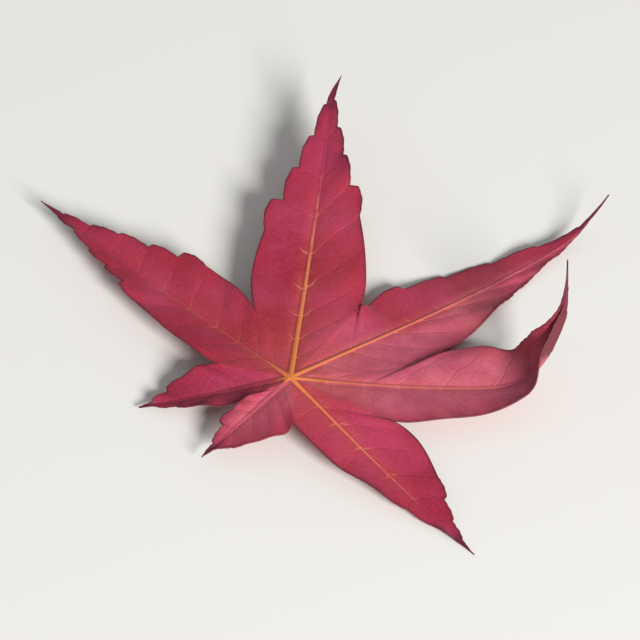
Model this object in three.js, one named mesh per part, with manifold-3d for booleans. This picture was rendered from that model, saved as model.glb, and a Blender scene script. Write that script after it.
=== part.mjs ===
// A dried palmate maple leaf lying on a level surface. Millimetres, +Z up.
// Seven toothed lobes spread from the hub, where the stalk joins the blade. The crown lobe
// points along +Y, and the origin is under the middle of the leaf, on the surface.
import * as THREE from 'three';
import { mergeVertices } from 'three/addons/utils/BufferGeometryUtils.js';
import Module from 'manifold-3d';

const HUB_HEIGHT = 5.1;
const BLADE_THICKNESS = 0.3;
const RIB_DEPTH = 0.3; // how far a main vein stands out under the blade at the hub
const VEIN_SLANT = 0.85; // forward run of a side vein for each millimetre sideways
const VEIN_SAG = 0.2; // how far a side vein bows towards the hub, for each millimetre of its width
const FOLD_START = 0.15; // share of a lobe's length over which its fold opens up from the hub

// Notch, back and point of one tooth: how far along it each lies, and how far it is lifted.
const TOOTH = [{ at: 0, lift: 0 }, { at: 0.5, lift: 0.68 }, { at: 0.93, lift: 0.65 }];
const TOOTH_PUSH = 0.15; // how far a tooth's point leans forward, as a share of its depth
const SHOULDER_BULGE = 1.35; // how far a margin is pulled out to reach its full width
const CLOSING = { from: 0.6, to: 0.86 }; // share of a lobe's length over which its tip folds shut

const RAY_ROWS = 7; // rows from the hub to a notch
const PLAIN_ROWS = 5; // rows from a notch to the first tooth
const COLUMNS = [0, 0.12, 0.55, 1]; // shares of the way from the main vein to the edge
const MIDRIB_STEPS = 240;

const STALK = { radius: 0.45, length: 19, heading: -143, sides: 10, steps: 20 };
const STALK_FOOT = { radius: 0.75, length: 2.6 };

// Headings are degrees clockwise from +Y, seen from above. Rise is the upward slope of the main
// vein in degrees at the hub, half way and at the tip. Fold is how far each half is turned up, and
// close is how much more at the tip. Bends are local curls of the dried lobe. In each half, width is
// the distance from the main vein, and first is the share of the margin before the first tooth.
const LOBES = [
  { heading: -146, sweep: 0, length: 24, teeth: 3, rise: [-12, -11, -6], fold: 14,
    left: { width: 3.9, first: 0.5, depth: 0.3, shoulder: 0.4 },
    right: { width: 5.4, first: 0.45, depth: 1.2 } },
  { heading: -93.8, sweep: -2, length: 56.5, teeth: 6, rise: [-6, -1.2, 2.5], fold: 12,
    left: { width: 6.5, first: 0.42, depth: 1.1, tail: 0.9 },
    right: { width: 8.8, first: 0.3, depth: 1.1, tail: 0.9 } },
  { heading: -44.5, sweep: 0, length: 64.5, teeth: 5, rise: [-7, 3, 18], fold: 9,
    left: { width: 9.2, first: 0.36, depth: 1.7, taper: 0.73, tail: 1.1 },
    right: { width: 8.5, first: 0.42, depth: 1.5, taper: 0.73, tail: 1.1 },
    bends: [{ at: 0.94, span: 0.12, rise: 0, turn: 20, roll: 0 }] },
  { heading: 0.4, sweep: 4, length: 65, teeth: 6, rise: [-7.5, -3.7, 15], fold: -6,
    left: { width: 8.2, first: 0.05, depth: 0.9, tail: 0.1 },
    right: { width: 7.0, first: 0.5, depth: 0.2, taper: 0.5, tail: 0 },
    bends: [{ at: 0.88, span: 0.25, rise: 18, turn: -12, roll: 0 }] },
  { heading: 41, sweep: -5, length: 60, teeth: 5, rise: [-9, 0, 6], fold: 11, close: 75,
    left: { width: 11.8, first: 0.5, depth: 0.2, taper: 0.55, tail: 0.2 },
    right: { width: 7.7, first: 0.5, depth: 0.2, taper: 0.62, tail: 0.4 },
    bends: [{ at: 0.62, span: 0.28, rise: 60, turn: -32, roll: -24 },
      { at: 0.84, span: 0.16, rise: 18, turn: -62, roll: -30 }] },
  { heading: 90, sweep: -2, length: 43.8, teeth: 4, rise: [-8, -7, -3], fold: 12,
    left: { width: 8.2, first: 0.48, depth: 0.8, shoulder: 0.32 },
    right: { width: 5.8, first: 0.5, depth: 0.3 } },
  { heading: 171, sweep: 4, length: 20, teeth: 3, rise: [-6, -9, -8], fold: 11,
    left: { width: 7.0, first: 0.5, depth: 0.25, tail: 0.2 },
    right: { width: 3.7, first: 0.35, depth: 0.9 } },
];
const PLAIN_LOBE = { close: 0, bends: [] };
const PLAIN_HALF = { shoulder: 0.3, taper: 0.7, tail: 0.5 };

// The notch after each lobe, going clockwise: its heading and its distance from the hub.
const NOTCHES = [
  { heading: -123, radius: 12 },
  { heading: -71, radius: 15.6 },
  { heading: -18, radius: 20 },
  { heading: 26.5, radius: 20.5 },
  { heading: 70, radius: 16.5 },
  { heading: 126, radius: 10 },
  { heading: 184, radius: 5.5 },
];

const { degToRad, clamp, lerp, smoothstep } = THREE.MathUtils;

// The main vein of a lobe as a space curve, with the blade's own axes at each station.
class Midrib {
  constructor(lobe) {
    this.lobe = lobe;
    this.step = lobe.length / MIDRIB_STEPS;
    this.frames = [this.axesAt(0)];
    this.frames[0].point = new THREE.Vector3(0, 0, HUB_HEIGHT);
    for (let i = 1; i <= MIDRIB_STEPS; i += 1) {
      const frame = this.axesAt(i / MIDRIB_STEPS);
      const middle = this.axesAt((i - 0.5) / MIDRIB_STEPS);
      frame.point = this.frames[i - 1].point.clone().addScaledVector(middle.along, this.step);
      this.frames.push(frame);
    }
  }

  axesAt(share) {
    const [start, middle, end] = this.lobe.rise;
    let rise = start * (1 - share) * (1 - 2 * share) + middle * 4 * share * (1 - share)
      + end * share * (2 * share - 1);
    let heading = this.lobe.heading + this.lobe.sweep * share;
    let roll = 0;
    for (const bend of this.lobe.bends) {
      const done = smoothstep(share, bend.at - bend.span / 2, bend.at + bend.span / 2);
      rise += bend.rise * done;
      heading += bend.turn * done;
      roll += bend.roll * done;
    }
    const [h, p] = [degToRad(heading), degToRad(rise)];
    const along = new THREE.Vector3(Math.sin(h) * Math.cos(p), Math.cos(h) * Math.cos(p), Math.sin(p));
    const across = new THREE.Vector3(Math.cos(h), -Math.sin(h), 0).applyAxisAngle(along, degToRad(roll));
    const up = new THREE.Vector3().crossVectors(across, along);
    return { along, across, up };
  }

  frameAt(distance) {
    const place = clamp(distance / this.step, 0, MIDRIB_STEPS - 1e-6);
    const [a, b] = [this.frames[Math.floor(place)], this.frames[Math.floor(place) + 1]];
    const mix = place % 1;
    return {
      point: a.point.clone().lerp(b.point, mix),
      across: a.across.clone().lerp(b.across, mix),
      up: a.up.clone().lerp(b.up, mix),
    };
  }
}

// One half of a lobe, flat: for each row, where its edge is along and across the main vein.
function edgeRows(lobe, half, side, notch) {
  const form = { ...PLAIN_HALF, ...half };
  const spread = degToRad((notch.heading - lobe.heading) * side);
  const start = new THREE.Vector2(Math.cos(spread), Math.sin(spread)).multiplyScalar(notch.radius);
  const free = lobe.length - start.x;
  const margin = new THREE.CubicBezierCurve(
    start,
    new THREE.Vector2(start.x + free * form.shoulder, form.width * SHOULDER_BULGE),
    new THREE.Vector2(start.x + free * form.taper, form.tail),
    new THREE.Vector2(lobe.length, 0),
  );
  const rows = [];
  for (let row = 0; row < RAY_ROWS; row += 1) {
    const point = start.clone().multiplyScalar(row / RAY_ROWS);
    rows.push({ plain: point, toothed: point });
  }
  for (let row = 0; row < PLAIN_ROWS; row += 1) {
    const point = margin.getPoint((form.first * row) / PLAIN_ROWS);
    rows.push({ plain: point, toothed: point });
  }
  const stations = Array.from({ length: lobe.teeth }, (_, tooth) => TOOTH.map(({ at, lift }) => (
    { share: lerp(form.first, 1, (tooth + at) / lobe.teeth), lift: tooth === 0 ? lift : lift - 0.5, push: at }
  ))).flat();
  for (const { share, lift, push } of [...stations, { share: 1, lift: 0, push: 0 }]) {
    const plain = margin.getPoint(share);
    const depth = form.depth * smoothstep(1 - share, 0, 0.2) * lerp(0.45, 1, clamp(plain.y / form.width, 0, 1));
    const toothed = new THREE.Vector2(plain.x + TOOTH_PUSH * depth * push, plain.y + depth * lift);
    rows.push({ plain, toothed });
  }
  return rows;
}

// Both halves of a lobe in space, as grids of points running from the main vein to the edge.
function lobeGrids(lobe, notchBefore, notchAfter) {
  const midrib = new Midrib(lobe);
  const flat = {
    left: edgeRows(lobe, lobe.left, -1, notchBefore),
    right: edgeRows(lobe, lobe.right, 1, notchAfter),
  };
  const root = (point) => point.x - VEIN_SLANT * point.y;
  const roots = flat.left.map((row, i) => (root(row.plain) + root(flat.right[i].plain)) / 2);
  const grid = (rows, side) => rows.map((row, i) => COLUMNS.map((share) => {
    const out = row.toothed.y * share;
    const along = lerp(roots[i], row.toothed.x, share) - VEIN_SAG * out * (1 - share);
    const { point, across, up } = midrib.frameAt(along);
    const lift = degToRad(lobe.fold * clamp(along / (lobe.length * FOLD_START), 0, 1)
      + lobe.close * smoothstep(along / lobe.length, CLOSING.from, CLOSING.to));
    point.addScaledVector(across, side * out * Math.cos(lift)).addScaledVector(up, out * Math.sin(lift));
    const rib = share === 0 || i === 0 ? RIB_DEPTH * (1 - roots[i] / lobe.length) : 0;
    return { point, rib };
  }));
  return { left: grid(flat.left, -1), right: grid(flat.right, 1) };
}

// Neighbouring lobes meet along the ray from the hub to their notch: both are eased onto its middle.
function easeOntoRay(gridA, gridB) {
  const last = COLUMNS.length - 1;
  const middles = gridA.slice(0, RAY_ROWS + 1)
    .map((row, i) => row[last].point.clone().lerp(gridB[i][last].point, 0.5));
  for (const grid of [gridA, gridB]) {
    const shifts = middles.map((middle, i) => middle.clone().sub(grid[i][last].point));
    const freeRows = grid.length - 1 - RAY_ROWS;
    grid.forEach((row, i) => {
      const shift = shifts[Math.min(i, RAY_ROWS)];
      const fade = 1 - smoothstep((i - RAY_ROWS) / freeRows, 0, 0.6);
      row.forEach((spot, c) => spot.point.addScaledVector(shift, COLUMNS[c] ** 1.5 * fade));
    });
    middles.forEach((middle, i) => grid[i][last].point.copy(middle));
  }
}

// The blade's middle surface, one sheet with its shared points merged, facing up.
function middleSurface() {
  const heading = (notch, turn) => ({ ...notch, heading: notch.heading + turn });
  const grids = LOBES.map((lobe, i) => {
    const before = i === 0 ? heading(NOTCHES.at(-1), -360) : NOTCHES[i - 1];
    return lobeGrids({ ...PLAIN_LOBE, ...lobe }, before, NOTCHES[i]);
  });
  grids.forEach((grid, i) => easeOntoRay(grid.right, grids[(i + 1) % grids.length].left));

  const positions = [];
  const ribs = [];
  const addTriangle = (...spots) => {
    const [a, b, c] = spots.map((spot) => spot.point);
    if (a.equals(b) || b.equals(c) || c.equals(a)) return;
    spots.forEach(({ point, rib }) => {
      positions.push(...point);
      ribs.push(rib);
    });
  };
  const addGrid = (grid, side) => {
    for (let i = 0; i < grid.length - 1; i += 1) {
      for (let c = 0; c < COLUMNS.length - 1; c += 1) {
        const [near, far] = side > 0 ? [c, c + 1] : [c + 1, c];
        addTriangle(grid[i][near], grid[i][far], grid[i + 1][far]);
        addTriangle(grid[i][near], grid[i + 1][far], grid[i + 1][near]);
      }
    }
  };
  grids.forEach(({ left, right }) => {
    addGrid(left, -1);
    addGrid(right, 1);
  });
  const sheet = new THREE.BufferGeometry();
  sheet.setAttribute('position', new THREE.Float32BufferAttribute(positions, 3));
  sheet.setAttribute('rib', new THREE.Float32BufferAttribute(ribs, 1));
  return mergeVertices(sheet, 1e-4);
}

// Edges that belong to one triangle only, in that triangle's direction: the outline of the sheet.
function outlineEdges(index) {
  const seen = new Map();
  for (let i = 0; i < index.count; i += 3) {
    for (let k = 0; k < 3; k += 1) {
      const [a, b] = [index.getX(i + k), index.getX(i + (k + 1) % 3)];
      if (!seen.delete(`${b},${a}`)) seen.set(`${a},${b}`, [a, b]);
    }
  }
  return [...seen.values()];
}

// Gives the sheet its thickness and its ribs, and closes it with a rim. Nothing goes below the surface.
function thicken(sheet) {
  sheet.computeVertexNormals();
  const { position, normal, rib } = sheet.attributes;
  const count = position.count;
  const vertices = new Float32Array(count * 6);
  for (let i = 0; i < count; i += 1) {
    const middle = new THREE.Vector3().fromBufferAttribute(position, i);
    const up = new THREE.Vector3().fromBufferAttribute(normal, i);
    const top = middle.clone().addScaledVector(up, BLADE_THICKNESS / 2);
    const under = middle.clone().addScaledVector(up, -BLADE_THICKNESS / 2 - rib.getX(i));
    under.z = Math.max(under.z, 0);
    top.toArray(vertices, i * 3);
    under.toArray(vertices, (count + i) * 3);
  }
  const triangles = [];
  for (let i = 0; i < sheet.index.count; i += 3) {
    const [a, b, c] = [0, 1, 2].map((k) => sheet.index.getX(i + k));
    triangles.push(a, b, c, count + c, count + b, count + a);
  }
  for (const [a, b] of outlineEdges(sheet.index)) triangles.push(a, count + a, b, b, count + a, count + b);
  return { vertices, triangles: Uint32Array.from(triangles) };
}

// The stalk bends down from the hub and runs out along the surface, under the left basal lobe.
function stalkGeometries() {
  const h = degToRad(STALK.heading);
  const place = (distance, height) => new THREE.Vector3(
    Math.sin(h) * distance, Math.cos(h) * distance, height);
  const path = new THREE.CubicBezierCurve3(
    place(-0.2, HUB_HEIGHT - 0.5),
    place(STALK.length * 0.3, HUB_HEIGHT * 0.5),
    place(STALK.length * 0.5, STALK.radius),
    place(STALK.length, STALK.radius),
  );
  const section = new THREE.Shape();
  for (let i = 0; i < STALK.sides; i += 1) {
    const angle = ((i + 0.5) / STALK.sides) * 2 * Math.PI;
    const corner = [STALK.radius * Math.cos(angle), STALK.radius * Math.sin(angle)];
    if (i === 0) section.moveTo(...corner);
    else section.lineTo(...corner);
  }
  const tube = new THREE.ExtrudeGeometry(section, { steps: STALK.steps, extrudePath: path });
  const foot = new THREE.SphereGeometry(STALK_FOOT.radius, STALK.sides, 6);
  foot.rotateX(Math.PI / 2);
  foot.scale(1, STALK_FOOT.length / 2 / STALK_FOOT.radius, 1);
  foot.rotateZ(-h);
  foot.translate(...place(STALK.length - STALK_FOOT.length / 2, STALK_FOOT.radius));
  return [tube, foot];
}

function toMesh(geometry) {
  geometry.deleteAttribute('normal');
  geometry.deleteAttribute('uv');
  const merged = mergeVertices(geometry, 1e-4);
  return { vertices: merged.attributes.position.array, triangles: Uint32Array.from(merged.index.array) };
}

const wasm = await Module();
wasm.setup();

function toSolid({ vertices, triangles }) {
  return new wasm.Manifold(new wasm.Mesh({ numProp: 3, vertProperties: vertices, triVerts: triangles }));
}

function toGeometry(solid) {
  const mesh = solid.getMesh();
  const geometry = new THREE.BufferGeometry();
  geometry.setAttribute('position', new THREE.BufferAttribute(mesh.vertProperties, 3));
  geometry.setIndex(new THREE.BufferAttribute(mesh.triVerts, 1));
  geometry.computeVertexNormals();
  return geometry;
}

// Blade and stalk grew as one piece, so they are joined into one solid.
function buildLeaf() {
  const parts = [thicken(middleSurface()), ...stalkGeometries().map(toMesh)];
  const solid = parts.map(toSolid).reduce((whole, part) => whole.add(part));
  const geometry = toGeometry(solid);
  geometry.computeBoundingBox();
  const centre = geometry.boundingBox.getCenter(new THREE.Vector3());
  geometry.translate(-centre.x, -centre.y, -geometry.boundingBox.min.z);
  return geometry;
}

const leafMaterial = new THREE.MeshStandardMaterial({
  color: 0xa83250, roughness: 0.6, metalness: 0, side: THREE.FrontSide });

const leaf = new THREE.Mesh(buildLeaf(), leafMaterial);
leaf.name = 'leaf';

const mapleLeaf = new THREE.Group();
mapleLeaf.name = 'maple_leaf';
mapleLeaf.add(leaf);

export default mapleLeaf;
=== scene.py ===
"""A dried palmate maple leaf lying on a pale studio surface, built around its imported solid.

The blade is one closed skin. Each of its seven lobes is two half-lobe grids: rows follow the side
veins from the main vein out to the toothed margin, and columns run along the lobe. Lengths are in
millimetres until a mesh is made, and the hub, where all main veins meet, is the working origin.
"""

from __future__ import annotations

import logging
import math
from dataclasses import dataclass, field
from enum import Enum

import bpy
import numpy as np
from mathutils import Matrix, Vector

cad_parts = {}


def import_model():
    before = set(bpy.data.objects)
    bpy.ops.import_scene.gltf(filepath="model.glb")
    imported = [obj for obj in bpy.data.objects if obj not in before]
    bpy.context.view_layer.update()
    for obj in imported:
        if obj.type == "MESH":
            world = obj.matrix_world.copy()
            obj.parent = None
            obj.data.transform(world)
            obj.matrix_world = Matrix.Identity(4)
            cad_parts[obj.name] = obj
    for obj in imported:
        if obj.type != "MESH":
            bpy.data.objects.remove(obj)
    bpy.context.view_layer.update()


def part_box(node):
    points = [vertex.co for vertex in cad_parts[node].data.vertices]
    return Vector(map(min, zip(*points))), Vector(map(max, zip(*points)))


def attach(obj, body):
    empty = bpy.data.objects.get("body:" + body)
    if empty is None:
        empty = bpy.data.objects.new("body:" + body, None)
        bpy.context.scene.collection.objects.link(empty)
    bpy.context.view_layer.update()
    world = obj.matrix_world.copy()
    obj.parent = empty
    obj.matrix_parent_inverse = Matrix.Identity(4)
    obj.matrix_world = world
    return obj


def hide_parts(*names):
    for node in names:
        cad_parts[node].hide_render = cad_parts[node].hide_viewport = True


LOG = logging.getLogger("maple_leaf")

MM = 0.001
CAD_NODE = "leaf"
BODY = "root"

HUB_HEIGHT = 5.1
BLADE_THICKNESS = 0.22
VEIN_SLANT = 0.85  # forward run of a side vein for each millimetre sideways
VEIN_SAG = 0.2  # bow of a side vein towards the hub, for each millimetre of its width
FOLD_START = 0.15  # share of a lobe over which its fold opens up from the hub
CLOSING = (0.6, 0.86)  # share of a lobe over which its tip folds shut
WELD = 1e-5  # points in the same cell of this size are joined

Array = np.ndarray
Colour = tuple[float, float, float, float]
Tree = bpy.types.NodeTree
Socket = bpy.types.NodeSocket
Value = Socket | float | Colour

# What is kept at each corner of the blade: distance from the main vein and that vein's half width,
# share of the lobe's length, running count of side veins, share of the way to the edge, distance to
# the outline, blush with its painted light and shade, how strongly the main vein shows, and how dry
# the tip is.
MEASURES = ("gap", "half", "along", "veins", "out", "edge_gap", "tone_and_painted_light", "vein", "tip")


def colour(red: float, green: float, blue: float) -> Colour:
    """A linear colour with full alpha."""
    return (red, green, blue, 1.0)


VEIN_SHADE = colour(0.1, 0.012, 0.012)


def smooth(value: Array | float, low: float, high: float) -> Array:
    """Runs from 0 at low to 1 at high, level at both ends: q squared times (3 - 2q)."""
    q = np.clip((np.asarray(value, dtype=float) - low) / (high - low), 0.0, 1.0)
    return q * q * (3.0 - 2.0 * q)


def bezier(handles: Array, share: Array) -> Array:
    """Points of the cubic Bezier curve of four handles, at some shares of the way along it."""
    left = 1 - share
    weights = [left ** 3, 3 * left ** 2 * share, 3 * left * share ** 2, share ** 3]
    return np.stack(weights, axis=-1) @ handles


def halves(a: Array, b: Array, c: Array, d: Array) -> Array:
    """The two triangles abc and acd of each four-sided cell, from the numbers of its corners."""
    pair = np.stack([a, b, c], axis=-1), np.stack([a, c, d], axis=-1)
    return np.concatenate(pair).reshape(-1, 3)


def weld(points: Array, triangles: Array) -> tuple[Array, Array, Array]:
    """Joins the points that share a cell, and drops the triangles that this closes.

    Args:
        points: the loose points, one in each row.
        triangles: the numbers of each triangle's points.

    Returns:
        The points that are kept, the triangles that are left, and a flag for each old triangle.
    """
    cells = np.round(points / WELD).astype(np.int64)
    _, kept, welded = np.unique(cells, axis=0, return_index=True, return_inverse=True)
    joined = welded.ravel()[triangles]
    real = np.all(joined != np.roll(joined, -1, axis=1), axis=1)
    return points[kept], joined[real], real


class Side(Enum):
    """The two halves of a lobe, seen from above with its tip away from the viewer."""

    LEFT = -1
    RIGHT = 1


@dataclass(frozen=True)
class Bend:
    """A local curl of a dried lobe, in degrees, spread over a share of its length."""

    at: float
    span: float
    rise: float = 0.0
    turn: float = 0.0
    roll: float = 0.0


@dataclass(frozen=True)
class Notch:
    """The bay between two lobes: its heading and its distance from the hub."""

    heading: float
    radius: float


@dataclass(frozen=True)
class Half:
    """One half of a lobe, seen flat: how wide it is and how its margin is cut.

    Shoulder and taper are shares of the free margin's length, where its curve is widest and where it
    has come down to the tail. The teeth start at first, a share of the margin, and are depth deep.
    Blush is the half's colour with painted light and shade: -1 is a painted shaded half, darkened
    towards the dry colour, 0 is deep red, and 1 is rosy, partly a painted lit and sheened half.
    """

    width: float
    first: float
    depth: float
    shoulder: float = 0.3
    taper: float = 0.7
    tail: float = 0.5
    tone_and_painted_light: float = 0.5


@dataclass(frozen=True)
class Lobe:
    """One lobe. Headings are degrees clockwise from +Y; rise is at the hub, half way and the tip.

    Fold turns each half up about the main vein and close adds to it at the tip, all in degrees. Vein
    is how strongly the main vein stands out in colour, and its tip is dry from dry_from outwards.
    """

    name: str
    heading: float
    sweep: float
    length: float
    teeth: int
    rise: tuple[float, float, float]
    fold: float
    left: Half
    right: Half
    close: float = 0.0
    bends: tuple[Bend, ...] = ()
    vein: float = 1.0
    dry_from: float = 0.9


# Each half's blush paints its light and shade as well as its tone: shaded halves are painted darker,
# lit halves rosier.
LOBES = (
    Lobe("left_basal", -146, 0, 24, 3, (-12, -11, -6), 14,
         left=Half(3.9, 0.5, 0.3, shoulder=0.4, tone_and_painted_light=-1.0),
         right=Half(5.4, 0.45, 1.2, tone_and_painted_light=-0.45), vein=0.15),
    Lobe("left_side", -93.8, -2, 56.5, 6, (-6, -1.2, 2.5), 12,
         left=Half(6.5, 0.42, 1.1, tail=0.9, tone_and_painted_light=0.3),
         right=Half(8.8, 0.3, 1.1, tail=0.9, tone_and_painted_light=0.4), vein=0.35),
    Lobe("left_shoulder", -44.5, 0, 64.5, 5, (-7, 3, 18), 9,
         left=Half(9.2, 0.36, 1.7, taper=0.73, tail=1.1, tone_and_painted_light=0.2),
         right=Half(8.5, 0.42, 1.5, taper=0.73, tail=1.1, tone_and_painted_light=0.42),
         bends=(Bend(at=0.94, span=0.12, turn=20),)),
    Lobe("crown", 0.4, 4, 65, 6, (-7.5, -3.7, 15), -6,
         left=Half(8.2, 0.05, 0.9, tail=0.1, tone_and_painted_light=0.5),
         right=Half(7.0, 0.5, 0.2, taper=0.5, tail=0.0, tone_and_painted_light=1.0), vein=0.8,
         bends=(Bend(at=0.88, span=0.25, rise=18, turn=-12),)),
    Lobe("right_shoulder", 41, -5, 60, 5, (-9, 0, 6), 11,
         left=Half(11.8, 0.5, 0.2, taper=0.55, tail=0.2, tone_and_painted_light=0.85),
         right=Half(7.7, 0.5, 0.2, taper=0.62, tail=0.4, tone_and_painted_light=0.85), close=75, vein=0.6, dry_from=0.7,
         bends=(Bend(at=0.62, span=0.28, rise=60, turn=-32, roll=-24),
                Bend(at=0.84, span=0.16, rise=18, turn=-62, roll=-30))),
    Lobe("right_side", 90, -2, 43.8, 4, (-8, -7, -3), 12,
         left=Half(8.2, 0.48, 0.8, shoulder=0.32, tone_and_painted_light=0.05),
         right=Half(5.8, 0.5, 0.3, tone_and_painted_light=0.35), vein=0.75),
    Lobe("right_basal", 171, 4, 20, 3, (-6, -9, -8), 11,
         left=Half(7.0, 0.5, 0.25, tail=0.2, tone_and_painted_light=0.75),
         right=Half(3.7, 0.35, 0.9, tone_and_painted_light=0.8), vein=0.1),
)

# The notch after each lobe, going clockwise.
NOTCHES = (
    Notch(-123, 12), Notch(-71, 15.6), Notch(-18, 20), Notch(26.5, 20.5), Notch(70, 16.5),
    Notch(126, 10), Notch(184, 5.5),
)


@dataclass
class Midrib:
    """The main vein of a lobe as a space curve, with the blade's own axes at each station."""

    lobe: Lobe
    steps: int = 480

    def __post_init__(self) -> None:
        """Works out the curve from the lobe's rise, heading and bends.

        The slope along the vein is the parabola through its three rises, and each bend adds its
        turn smoothly over its span. The points are the running sum of the direction.
        """
        lobe = self.lobe
        self.distance = np.linspace(0.0, lobe.length, self.steps + 1)
        share = self.distance / lobe.length
        start, middle, end = lobe.rise
        rise = (start * (1 - share) * (1 - 2 * share) + middle * 4 * share * (1 - share)
                + end * share * (2 * share - 1))
        heading = lobe.heading + lobe.sweep * share
        roll = np.zeros_like(share)
        for bend in lobe.bends:
            done = smooth(share, bend.at - bend.span / 2, bend.at + bend.span / 2)
            rise = rise + bend.rise * done
            heading = heading + bend.turn * done
            roll = roll + bend.roll * done
        h, p, r = np.radians(heading), np.radians(rise), np.radians(roll)
        along = np.stack([np.sin(h) * np.cos(p), np.cos(h) * np.cos(p), np.sin(p)], axis=-1)
        level = np.stack([np.cos(h), -np.sin(h), np.zeros_like(h)], axis=-1)
        lifted = np.cross(level, along)
        self.across = level * np.cos(r)[:, None] - lifted * np.sin(r)[:, None]
        self.up = lifted * np.cos(r)[:, None] + level * np.sin(r)[:, None]
        steps = (along[1:] + along[:-1]) / 2 * np.diff(self.distance)[:, None]
        self.point = np.vstack([np.zeros(3), np.cumsum(steps, axis=0)])
        self.point[:, 2] += HUB_HEIGHT

    def read(self, table: Array, distance: Array) -> Array:
        """Rows of a table of the vein's stations at any distances from the hub, read straight."""
        return np.stack([np.interp(distance, self.distance, table[:, k]) for k in range(3)], axis=-1)


@dataclass
class Margin:
    """The flat edge of one half-lobe: a ray from hub to notch, then a plain and a toothed margin."""

    lobe: Lobe
    side: Side
    notch: Notch
    seed: int
    ray_veins: int = 2
    ray_rows: int = 20
    plain_veins: int = 3
    plain_rows: int = 24
    # Where the rows of one tooth lie: its notch first, its point last, closest where it is cut back.
    tooth_rows: tuple[float, ...] = (0.0, 0.04, 0.1, 0.2, 0.32, 0.45, 0.58, 0.7, 0.8, 0.88, 0.94)
    tooth_point: float = 0.94
    tooth_push: float = 0.15  # how far a tooth's point leans forward, as a share of its depth
    tooth_droop: float = 0.35  # how far a tooth's back has come down again at its point
    tooth_swell: float = 1.8  # the power by which a tooth's back rises
    tooth_settle: float = 0.5  # how far a row of teeth is set in, as a share of its depth
    tooth_vary: tuple[float, ...] = (0.75, 1.15)
    tooth_least: float = 0.45  # share of its depth that a tooth keeps where the lobe is narrowest
    tail_fade: float = 0.2  # last share of the margin, over which teeth and waves fade out
    fine_teeth: int = 3
    fine_depth: float = 0.18
    fine_settle: float = 0.4
    shoulder_bulge: float = 1.35

    def form(self) -> Half:
        """The measures of this half."""
        return self.lobe.left if self.side is Side.LEFT else self.lobe.right

    def rows(self) -> dict[str, Array]:
        """The plain and toothed edge, row by row.

        The margin is a cubic Bezier curve from the notch over a shoulder to the tail and the tip. A
        tooth's back rises as 1 less a power of 1 - p, droops again by a share of p cubed, and its
        cut drops straight back to the margin. Small teeth ride on its back.

        Returns:
            plain, toothed: the edge without and with teeth, as steps along and out; veins: the
            running count of side veins; margin: the share of the free margin, below 0 on the ray.
        """
        form, teeth = self.form(), self.lobe.teeth
        spread = math.radians((self.notch.heading - self.lobe.heading) * self.side.value)
        start = self.notch.radius * np.array([math.cos(spread), math.sin(spread)])
        free = self.lobe.length - start[0]
        handles = np.array([
            start,
            [start[0] + free * form.shoulder, form.width * self.shoulder_bulge],
            [start[0] + free * form.taper, form.tail],
            [self.lobe.length, 0.0],
        ])
        plain = np.arange(self.plain_rows) / self.plain_rows - 1
        cut = np.append((np.arange(teeth)[:, None] + np.array(self.tooth_rows)).ravel(), teeth)
        share = np.append((plain + 1) * form.first, form.first + (1 - form.first) * cut / teeth)
        count = np.append(plain * self.plain_veins, cut)
        edge = bezier(handles, share)
        random = np.random.default_rng(self.seed)
        vary = random.uniform(*self.tooth_vary, teeth + 1)[np.floor(np.maximum(count, 0)).astype(int)]
        fade = smooth(1 - share, 0.0, self.tail_fade) * (count >= 0)
        broad = np.clip(edge[:, 1] / form.width, 0, 1)
        depth = form.depth * vary * fade * (self.tooth_least + (1 - self.tooth_least) * broad)
        phase = np.clip((count % 1.0) / self.tooth_point, 0.0, 1.0)
        lift = 1 - (1 - phase) ** self.tooth_swell - self.tooth_droop * phase ** 3
        fine = (phase * self.fine_teeth) % 1.0 - self.fine_settle
        fine_lift = self.fine_depth * fade * fine * np.sin(np.pi * phase)
        settle = np.where(count < 1, 0.0, self.tooth_settle)  # the first grows out of the margin
        toothed = edge + np.stack([self.tooth_push * depth * phase,
                                   depth * (lift - settle) + fine_lift], axis=-1)
        toothed[:, 1] = np.maximum(toothed[:, 1], 0.0)
        left = np.arange(self.ray_rows) / self.ray_rows - 1
        ray = (left + 1)[:, None] * start
        return {
            "plain": np.vstack([ray, edge]),
            "toothed": np.vstack([ray, toothed]),
            "veins": np.append(left * self.ray_veins - self.plain_veins, count),
            "margin": np.append(left, share),
        }


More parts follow.
